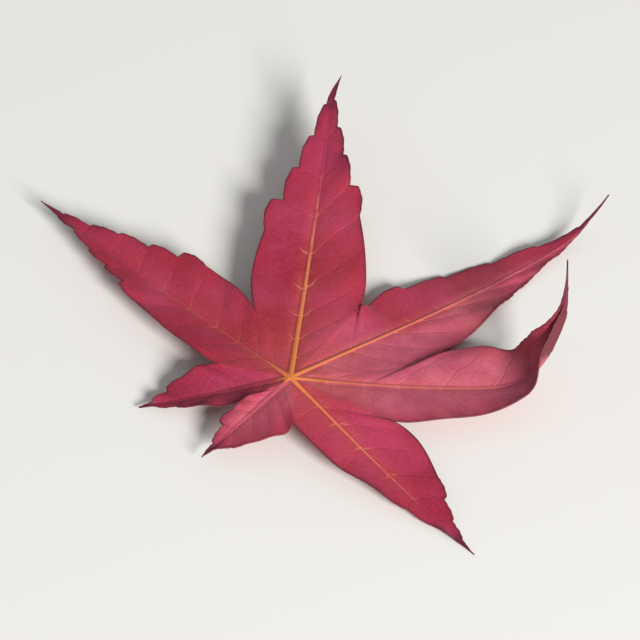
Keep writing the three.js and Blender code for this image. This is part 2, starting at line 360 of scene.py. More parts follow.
@dataclass
class Relief:
    """Heights of the skin's small forms, in millimetres, as functions of the grid's measures."""

    vein_width: float = 0.42
    vein_end: float = 0.15
    top_ridge: float = 0.1
    top_groove: float = 0.07
    under_ridge: float = 0.36
    side_width: float = 0.055
    side_groove: float = 0.02
    side_ridge: float = 0.09
    quilt: float = 0.07
    ruffle: float = 0.22
    vein_fade: float = 0.6  # the power by which the main vein's relief fades towards the tip

    def vein_half(self, share: Array) -> Array:
        """Half width of the main vein, narrowing along the lobe."""
        return self.vein_end + (self.vein_width - self.vein_end) * (1 - np.clip(share, 0, 1)) ** 1.3

    def side_line(self, veins: Array) -> Array:
        """1 on a side vein and 0 between them: a bell round each whole count."""
        gap = np.abs((veins + 0.5) % 1.0 - 0.5)
        return np.exp(-((gap / self.side_width) ** 2))

    def skins(self, at: dict[str, Array]) -> tuple[Array, Array]:
        """Rise of the upper skin and depth of the lower one.

        Above, a low round main vein lies in a shallow groove, and side veins are sunken. Below, a
        half-round main vein and fine side veins stand out.

        Args:
            at: the measures, by name.

        Returns:
            The rise and the depth, in the measures' shape.
        """
        strength = (1 - np.clip(at["along"], 0, 1)) ** self.vein_fade
        widths = at["gap"] / at["half"]
        round_vein = np.clip(1 - widths ** 2, 0, 1)
        groove = np.exp(-(((widths - 1.7) / 0.8) ** 2))
        side, out = self.side_line(at["veins"]), np.clip(at["out"], 0, 1)
        rise = strength * (self.top_ridge * round_vein - self.top_groove * groove)
        depth = strength * self.under_ridge * np.sqrt(round_vein)
        return (rise - self.side_groove * side * np.sin(np.pi * out) ** 0.5,
                depth + self.side_ridge * side * (1 - out) ** 0.5)

    def bulge(self, veins: Array, out: Array, fade: Array) -> Array:
        """The blade's quilting: half a cosine between side veins, nothing at the vein and the edge."""
        between = (1 - np.cos(2 * np.pi * veins)) / 2
        return self.quilt * between * np.sin(np.pi * np.clip(out, 0, 1)) * fade

    def wave(self, veins: Array, out: Array, phase: float) -> Array:
        """The margin's slow waves: two sines of the side-vein count, growing towards the edge."""
        slow = np.sin(2.3 * veins + phase) + 0.6 * np.sin(4.1 * veins + 2.0 * phase)
        return self.ruffle * slow * np.clip(out, 0, 1) ** 2.2


@dataclass
class HalfLobe:
    """One half of a lobe as a grid of points with the measures that the skin and finish need."""

    margin: Margin
    midrib: Midrib
    relief: Relief
    vein_columns: tuple[float, ...] = (0.0, 0.3, 0.6, 0.85, 1.0, 1.5, 2.1)
    outer_columns: tuple[float, ...] = (
        0.08, 0.17, 0.27, 0.38, 0.49, 0.6, 0.7, 0.79, 0.87, 0.93, 0.975, 1.0)
    vein_reach: float = 0.4  # the vein's columns never take more than this share of a row
    quilt_least: float = 0.15  # share of the quilting that is left where the lobes are joined
    wave_step: float = 1.7  # how far the waves of one half-lobe are shifted from the last one's

    def __post_init__(self) -> None:
        """Works out the flat edge that the grid runs out to."""
        self.lobe = self.margin.lobe
        self.edge = self.margin.rows()
        self.ray_rows = self.margin.ray_rows

    def own_roots(self) -> Array:
        """Where each row would leave the main vein if this half stood alone."""
        return self.edge["plain"] @ [1.0, -VEIN_SLANT]

    def lay_out(self, roots: Array) -> None:
        """Places the grid: each row runs from its root on the main vein out to the edge.

        A row slants forward as side veins do and sags towards the hub. The half is turned up about
        the main vein by its fold, which closes towards the tip, and waves towards its margin.

        Args:
            roots: distance along the main vein of each row's root, shared by both halves.
        """
        lobe, relief, edge = self.lobe, self.relief, self.edge
        along_edge, out_edge = edge["toothed"][:, :1], edge["toothed"][:, 1:]
        root = roots[:, None]
        half = relief.vein_half(root / lobe.length)
        reach = np.minimum(half * self.vein_columns[-1], self.vein_reach * out_edge)
        inner = reach * np.array(self.vein_columns) / self.vein_columns[-1]
        outer = reach + (out_edge - reach) * np.array(self.outer_columns)
        self.out_mm = np.concatenate([inner, outer], axis=1)
        self.out = np.where(out_edge > 0, self.out_mm / np.maximum(out_edge, 1e-9), 0.0)
        self.out[:, -1] = 1.0
        along = root + (along_edge - root) * self.out - VEIN_SAG * self.out_mm * (1 - self.out)
        along = np.clip(along, 0.0, lobe.length)
        self.along = along / lobe.length
        self.half = np.broadcast_to(half, along.shape)
        self.veins = np.broadcast_to(edge["veins"][:, None], along.shape)
        fold = lobe.fold * np.clip(self.along / FOLD_START, 0, 1)
        fold = np.radians(fold + lobe.close * smooth(self.along, *CLOSING))
        free = smooth(edge["margin"], -0.6, 0.15)[:, None]
        free = free * smooth(1 - edge["margin"], 0.0, self.margin.tail_fade)[:, None]
        quilted = self.quilt_least + (1 - self.quilt_least) * free
        height = relief.bulge(self.veins, self.out, quilted)
        height = height + relief.wave(self.veins, self.out, self.wave_step * self.margin.seed) * free
        across = self.midrib.read(self.midrib.across, along)
        up = self.midrib.read(self.midrib.up, along)
        side_step = self.out_mm * np.cos(fold) - height * np.sin(fold)
        up_step = self.out_mm * np.sin(fold) + height * np.cos(fold)
        self.points = (self.midrib.read(self.midrib.point, along)
                       + self.margin.side.value * side_step[..., None] * across
                       + up_step[..., None] * up)
        self.edge_gap = self.gap_to_margin(along)

    def gap_to_margin(self, along: Array) -> Array:
        """Distance to the leaf's outline: across the row past the notch, and to the notch before it.

        Args:
            along: flat distance along the lobe of each grid point.

        Returns:
            Distances in millimetres, in the grid's shape.
        """
        across_row = self.edge["toothed"][:, 1:] * (1 - self.out)
        notch = self.edge["plain"][self.ray_rows]
        to_notch = np.hypot(along - notch[0], self.out_mm - notch[1])
        on_ray = (self.edge["margin"] < 0)[:, None]
        return np.where(on_ray, to_notch, np.minimum(across_row, to_notch + across_row))

    def ease_edge(self, middles: Array) -> None:
        """Moves the ray's points onto the line shared with the next lobe, and fades past the notch.

        Args:
            middles: the shared points, from the hub to the notch.
        """
        shift = middles - self.points[: self.ray_rows + 1, -1]
        free_rows = len(self.points) - 1 - self.ray_rows
        row = np.arange(len(self.points))
        fade = 1 - smooth((row - self.ray_rows) / free_rows, 0.0, 0.6)
        shift = shift[np.minimum(row, self.ray_rows)] * fade[:, None]
        self.points = self.points + shift[:, None, :] * (self.out ** 1.5)[..., None]
        self.points[: self.ray_rows + 1, -1] = middles

    def vein_grid(self) -> Array:
        """How strongly the main vein shows: full at the hub, and the lobe's own share outwards."""
        return 1 - (1 - self.lobe.vein) * smooth(self.along, 0.0, 0.12)

    def tone_and_painted_light_grid(self, other_half: float, next_lobe: float) -> Array:
        """This half's own blush, with its painted light and shade, meeting the other half's on the
        vein and the next lobe's on the ray.

        Args:
            other_half: the blush across the main vein.
            next_lobe: the blush across the ray between lobes.

        Returns:
            Blush, with its painted light and shade, in the grid's shape.
        """
        own = self.margin.form().tone_and_painted_light
        past = smooth(self.edge["margin"], 0.0, 0.5)[:, None]
        by_ray = np.clip(self.out, 0, 1) ** 2 * (1 - past) / 2
        by_vein = (1 - smooth(self.out, 0.0, 0.35)) / 2
        return own * (1 - by_ray - by_vein) + next_lobe * by_ray + other_half * by_vein


@dataclass
class Skin:
    """Triangles over shared points, with a value at each triangle's corner for every measure."""

    points: Array
    triangles: Array
    corners: dict[str, Array]

    def normals(self) -> Array:
        """Unit normals at the points: the sum of the area normals of the triangles round each."""
        a, b, c = (self.points[self.triangles[:, k]] for k in range(3))
        area = np.cross(b - a, c - a)
        total = np.zeros_like(self.points)
        for k in range(3):
            np.add.at(total, self.triangles[:, k], area)
        return total / np.maximum(np.linalg.norm(total, axis=1, keepdims=True), 1e-12)

    def outline(self) -> Array:
        """Corner numbers (from, to) of every edge that only one triangle has.

        Returns:
            Two columns of corner numbers, in the direction of the edge's own triangle.
        """
        corner = np.arange(self.triangles.size).reshape(-1, 3)
        start = corner.ravel()
        end = np.roll(corner, -1, axis=1).ravel()
        ends = np.sort(self.triangles.ravel()[np.stack([start, end], axis=1)], axis=1)
        _, first, count = np.unique(ends, axis=0, return_index=True, return_counts=True)
        lone = first[count == 1]
        return np.stack([start[lone], end[lone]], axis=1)


@dataclass
class Blade:
    """The leaf's blade: all half-lobes welded into one sheet, then given thickness and relief."""

    relief: Relief = field(default_factory=Relief)
    dry_blend: float = 0.08  # share of the lobe before dry_from over which the dryness starts

    def half_lobes(self) -> list[dict[Side, HalfLobe]]:
        """Makes, lays out and eases both halves of every lobe.

        Returns:
            One pair of half-lobes for each lobe, clockwise.
        """
        pairs: list[dict[Side, HalfLobe]] = []
        for number, lobe in enumerate(LOBES):
            before = NOTCHES[number - 1]
            if number == 0:
                before = Notch(before.heading - 360, before.radius)
            midrib, pair = Midrib(lobe), {}
            for seed, side, notch in ((1, Side.LEFT, before), (2, Side.RIGHT, NOTCHES[number])):
                margin = Margin(lobe, side, notch, 2 * number + seed)
                pair[side] = HalfLobe(margin, midrib, self.relief)
            roots = sum(half.own_roots() for half in pair.values()) / 2
            for half in pair.values():
                half.lay_out(roots)
            pairs.append(pair)
        for number, pair in enumerate(pairs):
            here, there = pair[Side.RIGHT], pairs[(number + 1) % len(pairs)][Side.LEFT]
            rows = here.ray_rows + 1
            middles = (here.points[:rows, -1] + there.points[:rows, -1]) / 2
            here.ease_edge(middles)
            there.ease_edge(middles)
        return pairs

    def sheet(self) -> Skin:
        """Welds the grids into the blade's middle surface, facing up.

        Returns:
            The middle surface with its corner measures.
        """
        points, triangles, measures, start = [], [], [], 0
        pairs = self.half_lobes()
        for number, pair in enumerate(pairs):
            for side, half in pair.items():
                lobe, beside = LOBES[number], LOBES[(number + side.value) % len(LOBES)]
                grid = start + np.arange(half.out.size).reshape(half.out.shape)
                a, b, c, d = grid[:-1, :-1], grid[:-1, 1:], grid[1:, 1:], grid[1:, :-1]
                across, next_lobe = lobe.left, beside.left
                if side is Side.LEFT:
                    a, b, c, d = b, a, d, c
                    across, next_lobe = lobe.right, beside.right
                triangles.append(halves(a, b, c, d))
                points.append(half.points.reshape(-1, 3))
                measures.append(np.stack([
                    half.out_mm, half.half, half.along, half.veins, half.out, half.edge_gap,
                    half.tone_and_painted_light_grid(across.tone_and_painted_light, next_lobe.tone_and_painted_light), half.vein_grid(),
                    smooth(half.along, lobe.dry_from - self.dry_blend, 1.0)],
                    axis=-1).reshape(-1, len(MEASURES)))
                start += half.out.size
        loose = np.concatenate(triangles)
        kept, joined, real = weld(np.concatenate(points), loose)
        values = np.concatenate(measures)[loose[real]].reshape(-1, len(MEASURES))
        return Skin(kept, joined, dict(zip(MEASURES, values.T)))

    def closed(self) -> tuple[Skin, Array]:
        """Gives the sheet its two skins and its rim.

        Each skin stands half the blade's thickness off the middle surface along its normal, and the
        relief is added to that. The lower skin stays on or above the surface that the leaf lies on.

        Returns:
            The closed skin, and each triangle's layer: 0 above and on the rim, 1 below.
        """
        sheet = self.sheet()
        normals = sheet.normals()
        count, every = len(sheet.points), sheet.triangles.ravel()
        uses = np.maximum(np.bincount(every, minlength=count), 1)
        rise, depth = (np.bincount(every, value, count) / uses
                       for value in self.relief.skins(sheet.corners))
        body = BLADE_THICKNESS / 2
        upper = sheet.points + normals * (body + rise)[:, None]
        lower = sheet.points - normals * (body + depth)[:, None]
        lower[:, 2] = np.maximum(lower[:, 2], 0.0)
        upper[:, 2] = np.maximum(upper[:, 2], lower[:, 2] + body)
        rim = sheet.outline()
        (first, second), (a, b) = rim.T, every[rim].T
        rim_faces = halves(b, a, a + count, b + count)
        rim_corners = halves(second, first, first, second).ravel()
        flipped = np.arange(every.size).reshape(-1, 3)[:, ::-1].ravel()
        corners = {name: np.concatenate([value, value[flipped], value[rim_corners]])
                   for name, value in sheet.corners.items()}
        faces = np.concatenate([sheet.triangles, sheet.triangles[:, ::-1] + count, rim_faces])
        layers = np.repeat([0, 1, 0], [len(sheet.triangles), len(sheet.triangles), len(rim_faces)])
        return Skin(np.concatenate([upper, lower]), faces, corners), layers


@dataclass
class Stalk:
    """The stalk: it bends down from the hub and runs out along the surface to its swollen foot."""

    heading: float = -143.0
    length: float = 19.0
    radius: float = 0.42
    foot_radius: float = 0.72
    foot_length: float = 2.6
    root_swell: float = 0.18
    root_share: float = 0.12
    ridges: int = 5
    ridge_depth: float = 0.05  # as a share of the radius
    rings: int = 90
    sides: int = 20

    def skin(self) -> Skin:
        """A round section carried along a cubic Bezier path from the hub to the foot.

        The radius swells near the foot as a sine and near the hub as a square, and closes to a
        point at both ends. Fine ridges run along it as a cosine round the section.

        Returns:
            The closed tube, with its distance along as the measure "along".
        """
        h = math.radians(self.heading)
        way = np.array([math.sin(h), math.cos(h), 0.0])
        handles = np.array([
            way * -0.3 + [0, 0, HUB_HEIGHT - 0.35],
            way * self.length * 0.3 + [0, 0, HUB_HEIGHT * 0.5],
            way * self.length * 0.5 + [0, 0, self.radius],
            way * self.length + [0, 0, self.radius + 0.1],
        ])
        share = np.linspace(0, 1, self.rings)
        path = bezier(handles, share)
        tangent = np.gradient(path, axis=0)
        tangent /= np.linalg.norm(tangent, axis=1, keepdims=True)
        side = np.array([math.cos(h), -math.sin(h), 0.0])
        over = np.cross(side, tangent)
        foot = self.foot_length / self.length
        swell = np.sin(np.pi * np.clip((share - 1 + foot) / foot, 0, 1))
        swell = swell * (self.foot_radius - self.radius)
        root = self.root_swell * (1 - np.clip(share / self.root_share, 0, 1)) ** 2
        ends = np.sqrt(np.clip(np.minimum(share / 0.012, (1 - share) / 0.02), 0, 1))
        radius = (self.radius + swell + root) * ends
        turn = np.linspace(0, 2 * np.pi, self.sides, endpoint=False)
        ridged = radius[:, None] * (1 + self.ridge_depth * np.cos(self.ridges * turn))
        ring = (np.cos(turn)[None, :, None] * side + np.sin(turn)[None, :, None] * over[:, None, :])
        points = path[:, None, :] + ridged[..., None] * ring
        points[..., 2] = np.maximum(points[..., 2], 0.0)
        grid = np.arange(self.rings * self.sides).reshape(self.rings, self.sides)
        beside = np.roll(grid, -1, axis=1)
        loose = halves(grid[:-1], grid[1:], beside[1:], beside[:-1])
        kept, joined, real = weld(points.reshape(-1, 3), loose)
        along = np.repeat(share, self.sides)[loose[real]].ravel()
        return Skin(kept, joined, {"along": along})


def link(name: str, data: bpy.types.ID) -> bpy.types.Object:
    """Makes an object from some data and links it to the scene."""
    made = bpy.data.objects.new(name, data)
    bpy.context.scene.collection.objects.link(made)
    return made


def face(made: bpy.types.Object, target: Vector, way: Vector, distance: float) -> None:
    """Stands an object some metres off a target, and turns it to face the target."""
    made.location = target + way * distance
    made.rotation_euler = way.to_track_quat("Z", "Y").to_euler()


def to_object(name: str, skin: Skin, offset: Array, materials: list[bpy.types.Material],
              layers: Array | None = None) -> bpy.types.Object:
    """Makes a Blender object in metres from a skin, at the origin, with its corner measures.

    Args:
        name: the piece's name.
        skin: the closed skin in millimetres, about the hub.
        offset: where the hub's foot stands in the shared frame, in millimetres.
        materials: the piece's materials, by layer.
        layers: each triangle's material number; all 0 if left out.

    Returns:
        The new object, linked to the scene.
    """
    mesh = bpy.data.meshes.new(name)
    count = len(skin.triangles)
    mesh.vertices.add(len(skin.points))
    mesh.vertices.foreach_set("co", ((skin.points + offset) * MM).astype(np.float32).ravel())
    mesh.loops.add(count * 3)
    mesh.loops.foreach_set("vertex_index", skin.triangles.astype(np.int32).ravel())
    mesh.polygons.add(count)
    mesh.polygons.foreach_set("loop_start", np.arange(0, count * 3, 3, dtype=np.int32))
    mesh.polygons.foreach_set("use_smooth", np.ones(count, dtype=bool))
    for material in materials:
        mesh.materials.append(material)
    if layers is not None:
        mesh.polygons.foreach_set("material_index", layers.astype(np.int32))
    mesh.update(calc_edges=True)
    for key, value in skin.corners.items():
        attribute = mesh.attributes.new(key, "FLOAT", "CORNER")
        attribute.data.foreach_set("value", value.astype(np.float32))
    return link(name, mesh)


class Graph:
    """A short way to lay nodes in a tree and to join them."""

    def __init__(self, tree: Tree) -> None:
        """Keeps the tree that the nodes go into."""
        self.tree = tree

    def feed(self, socket: Socket, value: Value) -> None:
        """Links a socket to an output, or sets its value."""
        if isinstance(value, Socket):
            self.tree.links.new(value, socket)
        else:
            socket.default_value = value

    def node(self, kind: str, inputs: dict[str | int, Value] | None = None,
             **settings: object) -> bpy.types.Node:
        """Adds a node.

        Args:
            kind: Blender's name for the node type.
            inputs: values or outputs for its sockets, by name or number.
            settings: the node's own properties, which are set before its sockets.

        Returns:
            The node.
        """
        node = self.tree.nodes.new(kind)
        for key, value in settings.items():
            setattr(node, key, value)
        for key, value in (inputs or {}).items():
            self.feed(node.inputs[key], value)
        return node

    def group(self, tree: Tree, **inputs: Value) -> bpy.types.NodeOutputs:
        """Places a shader group, and gives its outputs."""
        return self.node("ShaderNodeGroup", inputs, node_tree=tree).outputs

    def math(self, operation: str, *values: Value) -> Socket:
        """A math node's result, from its inputs in order."""
        inputs = dict(enumerate(values))
        return self.node("ShaderNodeMath", inputs, operation=operation).outputs[0]

    def plus(self, first: Value, second: Value) -> Socket:
        """The sum of two values."""
        return self.math("ADD", first, second)

    def times(self, product: Value, *others: Value) -> Value:
        """The product of some values."""
        for value in others:
            product = self.math("MULTIPLY", product, value)
        return product

    def swing(self, share: Value) -> Socket:
        """A share from 0 to 1 as a swing about 0."""
        return self.math("SUBTRACT", share, 0.5)

    def ramp(self, value: Value, low: Value, high: Value, start: Value = 0.0,
             end: Value = 1.0) -> Socket:
        """A smooth step from start to end while value goes from low to high."""
        inputs = {"Value": value, "From Min": low, "From Max": high, "To Min": start, "To Max": end}
        return self.node("ShaderNodeMapRange", inputs, interpolation_type="SMOOTHSTEP").outputs[0]

    def fall(self, value: Value, low: Value, high: Value, start: Value = 1.0) -> Socket:
        """A smooth step from start down to 0 while value goes from low to high."""
        return self.ramp(value, low, high, start, 0.0)

    def mix(self, share: Value, first: Value, second: Value) -> Socket:
        """The first colour with a share of the second in it."""
        inputs = {0: share, 6: first, 7: second}
        return self.node("ShaderNodeMix", inputs, data_type="RGBA").outputs[2]

    def coats(self, tone: Value, *coats: tuple[Value, Value]) -> Value:
        """A colour under coats laid on in order, each a share and its colour."""
        for share, tint in coats:
            tone = self.mix(share, tone, tint)
        return tone

    def measure(self, name: str) -> Socket:
        """A measure stored on the mesh."""
        return self.node("ShaderNodeAttribute", attribute_name=name).outputs["Fac"]

    def place(self) -> Socket:
        """The object's own coordinates, in metres."""
        return self.node("ShaderNodeTexCoord").outputs["Object"]

    def noise(self, place: Value, scale: float, detail: float, rough: float = 0.5) -> Socket:
        """Noise that repeats scale times in a metre, with octaves of detail."""
        inputs = {"Vector": place, "Scale": scale, "Detail": detail, "Roughness": rough}
        return self.node("ShaderNodeTexNoise", inputs).outputs[0]

    def cells(self, place: Value, scale: float) -> Socket:
        """The distance to the borders of random cells, scale of them in a metre."""
        cells = self.node("ShaderNodeTexVoronoi", {"Vector": place, "Scale": scale},
                          feature="DISTANCE_TO_EDGE")
        return cells.outputs["Distance"]

    def bump(self, height: Value, strength: float, distance: float) -> Socket:
        """A normal that stands for a height of up to distance, in metres."""
        inputs = {"Strength": strength, "Distance": distance, "Height": height}
        return self.node("ShaderNodeBump", inputs).outputs[0]


class GroupGraph(Graph):
    """A shader node group that is being made. Its sockets are numbers unless KINDS says otherwise."""

    KINDS = {"Base": "Color", "Ember": "Color", "Pale": "Color", "Stain": "Color",
             "Color": "Color", "Place": "Vector"}

    def __init__(self, name: str, inputs: str, outputs: str) -> None:
        """Starts the group.

        Args:
            name: the group's name.
            inputs: the names of its inputs, with spaces between them.
            outputs: the names of its outputs.
        """
        super().__init__(bpy.data.node_groups.new(name, "ShaderNodeTree"))
        for labels, way in ((inputs, "INPUT"), (outputs, "OUTPUT")):
            for label in labels.split():
                kind = self.KINDS.get(label, "Float")
                self.tree.interface.new_socket(label, in_out=way, socket_type=f"NodeSocket{kind}")
        source = self.node("NodeGroupInput").outputs
        self.taken = [source[label] for label in inputs.split()]
        self.result = self.node("NodeGroupOutput").inputs

    def give(self, **outputs: Value) -> Tree:
        """Feeds the group's outputs, and gives its tree."""
        for label, value in outputs.items():
            self.feed(self.result[label], value)
        return self.tree


class SkinGraph(Graph):
    """The node tree of a new material, round its own shader."""

    def __init__(self, name: str) -> None:
        """Starts the material."""
        self.material = bpy.data.materials.new(name)
        self.material.use_nodes = True
        super().__init__(self.material.node_tree)

    def dress(self, looks: dict[str, Value]) -> bpy.types.Material:
        """Feeds the shader's sockets by name, and gives the material.

        Args:
            looks: an output for what varies over the surface, and a plain value for what doesn't.

        Returns:
            The finished material.
        """
        shader = self.tree.nodes["Principled BSDF"]
        for label, value in looks.items():
            self.feed(shader.inputs[label], value)
        return self.material


def vein_group() -> Tree:
    """Tints the main veins: glowing by the hub, paler outwards, gone before the tip.

    The mask is 1 within the vein's half width, which Show narrows, and falls away over a third of
    it. It also fades with the share of the lobe's length. Spurs are the first stretch of the side
    veins. The halo is a wide stain round the vein, and the shade is a thin dark band beside it.
    """
    graph = GroupGraph(
        "main_vein_tint", "Base Ember Pale Stain Gap Half Along Show Spur Grain", "Color")
    base, ember, pale, stain, distance, half, along, show, spur, grain = graph.taken
    gap = graph.math("DIVIDE", distance, graph.times(half, show))
    reach = graph.plus(along, graph.times(grain, 0.22))
    fade = graph.times(graph.fall(reach, 0.5, 0.84), show)
    halo = graph.times(graph.fall(distance, 0.3, 2.6), fade, graph.ramp(grain, 0.1, 0.9, 0.12, 0.5))
    shade = graph.times(graph.ramp(gap, 1.0, 1.3), graph.fall(gap, 1.4, 2.1), fade, 0.45)
    mask = graph.times(graph.fall(gap, 0.7, 1.15), fade, 0.92)
    tint = graph.mix(graph.fall(along, 0.1, 0.6), pale, ember)
    return graph.give(Color=graph.coats(
        base, (halo, stain), (shade, VEIN_SHADE), (graph.times(spur, fade, 0.9), pale), (mask, tint)))


def net_group() -> Tree:
    """Side veins and the fine net between them, as a line mask, short spurs and a height.

    A side vein is a bell round each whole count of the running vein number. A spur is the part of
    it next to the main vein. The net is the distance to the borders of two sizes of cell.
    """
    graph = GroupGraph("side_vein_net", "Place Veins Out Bend", "Line Spur Height")
    place, veins, out, bend = graph.taken
    turn = graph.math("FRACT", graph.plus(graph.plus(veins, graph.times(bend, 0.1)), 0.5))
    gap = graph.math("ABSOLUTE", graph.math("SUBTRACT", turn, 0.5))
    side = graph.times(graph.fall(gap, 0.0, 0.05), graph.fall(out, 0.6, 1.0))
    net = graph.plus(graph.fall(graph.cells(place, 700.0), 0.0, 0.12, 0.6),
                     graph.fall(graph.cells(place, 1900.0), 0.0, 0.14, 0.4))
    return graph.give(
        Line=graph.math("MAXIMUM", graph.times(side, 0.7), graph.times(net, 0.5)),
        Spur=graph.times(side, graph.fall(out, 0.08, 0.28)),
        Height=graph.plus(side, graph.times(net, 0.6)))


def mottle_group() -> Tree:
    """Uneven colour: broad clouds, a drift, small blotches and grain, each a share from 0 to 1."""
    graph = GroupGraph("leaf_mottle", "Place", "Cloud Drift Blotch Grain")
    place = graph.taken[0]
    return graph.give(
        Cloud=graph.ramp(graph.noise(place, 55.0, 2.0), 0.3, 0.7),
        Drift=graph.ramp(graph.noise(place, 110.0, 3.0, 0.55), 0.36, 0.66),
        Blotch=graph.ramp(graph.noise(place, 420.0, 4.0, 0.6), 0.35, 0.7),
        Grain=graph.noise(place, 2600.0, 2.0, 0.6))


def wear_and_edge_shade_group() -> Tree:
    """Dry margins and painted edge shade: a thin dark line along the edge, painted shade of the
    curled edge and its shadowed underside, a wider uneven stain, and dried tips.

    The line fades in and out with the clouds. The tip's dryness is pushed up and down by blotches,
    and the tip is fully dry where its measure reaches Full.
    """
    graph = GroupGraph("dry_margin", "Edge Tip Full Blotch Cloud", "Line Dry")
    edge, tip, full, blotch, cloud = graph.taken
    reach = graph.plus(graph.times(cloud, 1.4), 0.4)
    stain = graph.times(graph.fall(edge, 0.0, reach), blotch, 0.6)
    uneven = graph.plus(graph.times(blotch, 0.6), 0.7)
    return graph.give(
        Line=graph.times(graph.fall(edge, 0.08, 0.36), graph.ramp(cloud, 0.2, 0.8, 0.6, 1.0)),
        Dry=graph.math("MAXIMUM", stain, graph.ramp(graph.times(tip, uneven), 0.05, full)))


@dataclass(frozen=True)
class LeafGroups:
    """The shader groups that the leaf's materials share."""

    vein: Tree
    net: Tree
    mottle: Tree
    wear_and_edge_shade: Tree

    @classmethod
    def build(cls) -> LeafGroups:
        """Builds each group once."""
        return cls(vein_group(), net_group(), mottle_group(), wear_and_edge_shade_group())


@dataclass(frozen=True)
class BladeFinish:
    """The look of one face of the blade. Colours are linear."""

    name: str
    deep: Colour
    middle: Colour
    # also partly the painted highlight of the lit, sheened halves
    rosy: Colour
    cool: Colour
    wine: Colour
    wine_share: float  # how far the outer part of a lobe turns to wine
    ember: Colour  # the main veins by the hub
    pale: Colour  # the main veins further out
    stain: Colour  # the warm blade round the hub and the veins
    warmth: float
    net: Colour
    net_share: float
    net_bump: float  # below 0 where the fine veins are sunken
    # the painted shade along the edge
    line: Colour
    # also the painted shade of the shaded halves
    dry: Colour
    tip_full: float  # the tip measure at which a tip is wholly dry
    roughness: float
    sheen: float

    def body(self, graph: Graph, mottle: bpy.types.NodeOutputs, line: Socket) -> Value:
        """The blade's colour with each half's painted light and shade, without its main veins, wear
        and painted edge shade.

        Args:
            graph: the material's graph.
            mottle: the outputs of the mottle group.
            line: the mask of the side veins and the net.

        Returns:
            The colour, laid on in coats.
        """
        swing = graph.swing(mottle["Cloud"])
        tone_and_painted_light = graph.plus(graph.measure("tone_and_painted_light"), graph.times(swing, 0.45))
        along = graph.measure("along")
        outer = graph.plus(along, graph.times(swing, 0.3))
        return graph.coats(
            self.deep,
            (graph.ramp(tone_and_painted_light, 0.0, 0.5), self.middle),
            # rosy halves, partly painted light: the lit and sheened halves
            (graph.ramp(tone_and_painted_light, 0.45, 1.0), self.rosy),
            (graph.times(mottle["Drift"], 0.5), self.cool),
            # painted shade: halves with blush below 0 darken towards the dry colour
            (graph.fall(tone_and_painted_light, -1.0, 0.0, 0.6), self.dry),  # dark halves
            (graph.fall(graph.measure("edge_gap"), 0.3, 3.5, 0.4), self.deep),  # the margin
            (graph.times(mottle["Blotch"], 0.22), self.deep),
            (graph.ramp(mottle["Grain"], 0.4, 0.75, 0.0, 0.11), self.rosy),
            (graph.times(line, self.net_share), self.net),
            (graph.ramp(outer, 0.5, 0.9, 0.0, self.wine_share), self.wine),  # towards the tip
            (graph.fall(along, 0.02, 0.3, self.warmth), self.stain))  # round the hub

    def material(self, groups: LeafGroups) -> bpy.types.Material:
        """Builds the material.

        Args:
            groups: the shared shader groups.

        Returns:
            The material, which reads the mesh's measures and its object coordinates.
        """
        graph = SkinGraph(self.name)
        place = graph.place()
        mottle = graph.group(groups.mottle, Place=place)
        blotch = mottle["Blotch"]
        net = graph.group(groups.net, Place=place, Veins=graph.measure("veins"),
                          Out=graph.measure("out"), Bend=graph.swing(blotch))
        vein = graph.group(
            groups.vein, Base=self.body(graph, mottle, net["Line"]), Ember=self.ember,
            Pale=self.pale, Stain=self.stain, Gap=graph.measure("gap"), Half=graph.measure("half"),
            Along=graph.measure("along"), Show=graph.measure("vein"), Spur=net["Spur"], Grain=blotch)
        wear_and_edge_shade = graph.group(groups.wear_and_edge_shade, Edge=graph.measure("edge_gap"), Tip=graph.measure("tip"),
                           Full=self.tip_full, Blotch=blotch, Cloud=mottle["Cloud"])
        height = graph.plus(graph.times(net["Height"], self.net_bump),
                            graph.plus(graph.times(mottle["Grain"], 0.5), graph.times(blotch, 0.6)))
        return graph.dress({
            "Base Color": graph.coats(vein["Color"], (graph.times(wear_and_edge_shade["Dry"], 0.8), self.dry),
                                      # painted shade: the thin dark line along the edge
                                      (graph.times(wear_and_edge_shade["Line"], 0.75), self.line)),
            "Roughness": graph.plus(graph.times(graph.swing(blotch), 0.14), self.roughness),
            "Normal": graph.bump(height, 0.35, 0.00012),
            "Specular IOR Level": 0.28,
            "Sheen Weight": self.sheen,
            "Sheen Roughness": 0.35,
            "Sheen Tint": colour(1.0, 0.75, 0.8),
        })


@dataclass(frozen=True)
class StalkFinish:
    """The look of the stalk: dark red with a lighter streak and a dry foot. Colours are linear."""

    name: str = "stalk_skin"
    deep: Colour = colour(0.16, 0.012, 0.018)
    light: Colour = colour(0.42, 0.07, 0.05)
    dry: Colour = colour(0.11, 0.05, 0.03)

    def material(self, groups: LeafGroups) -> bpy.types.Material:
        """Builds the material.

        Args:
            groups: the shared shader groups.

        Returns:
            The material, which reads object coordinates and the distance along the stalk.
        """
        graph = SkinGraph(self.name)
        mottle = graph.group(groups.mottle, Place=graph.place())
        blotch, grain = mottle["Blotch"], mottle["Grain"]
        foot = graph.ramp(graph.plus(graph.measure("along"), graph.times(blotch, 0.06)), 0.84, 0.98)
        return graph.dress({
            "Base Color": graph.coats(self.deep, (blotch, self.light), (foot, self.dry)),
            "Roughness": graph.ramp(grain, 0.2, 0.8, 0.4, 0.6),
            "Normal": graph.bump(grain, 0.5, 0.0001),
        })


